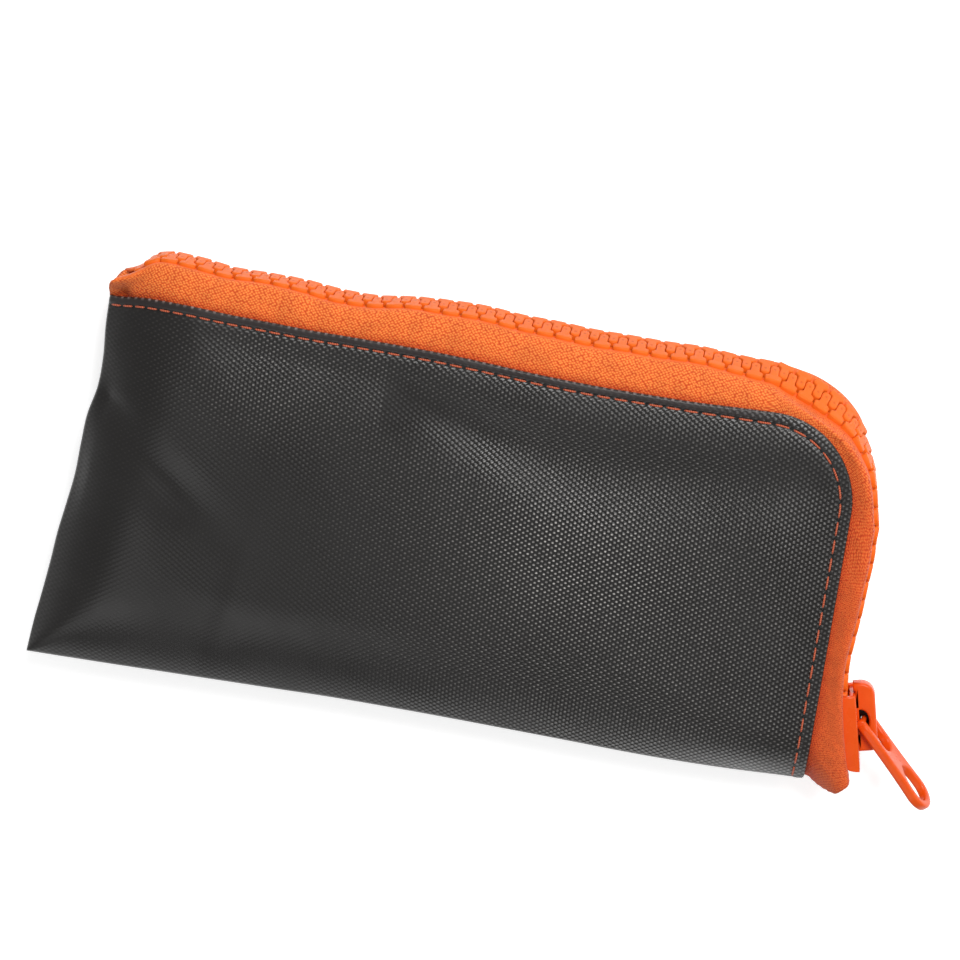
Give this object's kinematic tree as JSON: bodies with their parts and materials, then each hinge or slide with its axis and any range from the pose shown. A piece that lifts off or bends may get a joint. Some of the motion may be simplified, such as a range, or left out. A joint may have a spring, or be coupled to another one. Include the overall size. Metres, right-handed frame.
{
  "type": "glucose meter case",
  "caption": "Soft flat zip pouch for a blood glucose meter, with a chunky moulded zip along the top and down one side, inner elastic loops and a strip pocket.",
  "frame": {"origin": "on the flat face that the case rests on, under the middle of its body", "axes": "+X along the length towards the slider's side, +Y towards the long run of the zip, +Z out of the front panel"},
  "size_m": [0.2073, 0.0961, 0.0222],
  "materials": {
    "shell_fabric": "charcoal woven nylon with a slight glint",
    "lining_fabric": "smooth grey lining cloth",
    "zip_teeth": "orange moulded zip teeth, satin",
    "zip_tape": "orange woven zip tape",
    "slider_enamel": "orange baked enamel on a cast slider",
    "spring_steel": "bare spring steel",
    "elastic_webbing": "black ribbed elastic",
    "inner_binding": "black folded binding tape",
    "pocket_mesh": "grey net"
  },
  "bodies": {
    "case": {"front_panel_lower": "shell_fabric", "back_panel": "shell_fabric", "front_lining_lower": "lining_fabric", "back_lining": "lining_fabric", "front_zip_tape_lower": "zip_tape", "back_zip_tape": "zip_tape", "front_teeth_lower": "zip_teeth", "back_teeth": "zip_teeth", "back_teeth_side": "zip_teeth", "start_stop": "zip_teeth", "front_end_stop": "zip_teeth", "back_end_stop": "zip_teeth", "seam_binding": "inner_binding", "elastic_loops": "elastic_webbing", "strip_pocket": "pocket_mesh", "pocket_binding": "inner_binding"},
    "flap": {"front_panel_flap": "shell_fabric", "front_lining_flap": "lining_fabric", "front_zip_tape": "zip_tape", "front_teeth": "zip_teeth", "front_teeth_side": "zip_teeth"},
    "slider": {"slider_body": "slider_enamel", "slider_crown": "slider_enamel", "lock_spring": "spring_steel"},
    "pull": {"pull_tab": "slider_enamel"}
  },
  "joints": [
    {"name": "mouth_open", "type": "hinge", "parent": "case", "child": "flap", "pos_m": [0.00335, 0.008, 0.0224], "axis": [0.9587, -0.2844, 0], "range_deg": [0, 55]},
    {"name": "slider_travel", "type": "hinge", "parent": "case", "child": "slider", "pos_m": [0.20864, -0.00463, 0.012], "axis": [0, 0, -1], "range_deg": [0, 17], "deforming": ["front_teeth_side", "front_teeth_lower", "back_teeth_side"]},
    {"name": "pull_swing", "type": "hinge", "parent": "slider", "child": "pull", "pos_m": [0.09461, -0.02907, 0.012], "axis": [-0.059, -0.064, 0.9962], "range_deg": [-30, 130]}
  ]
}
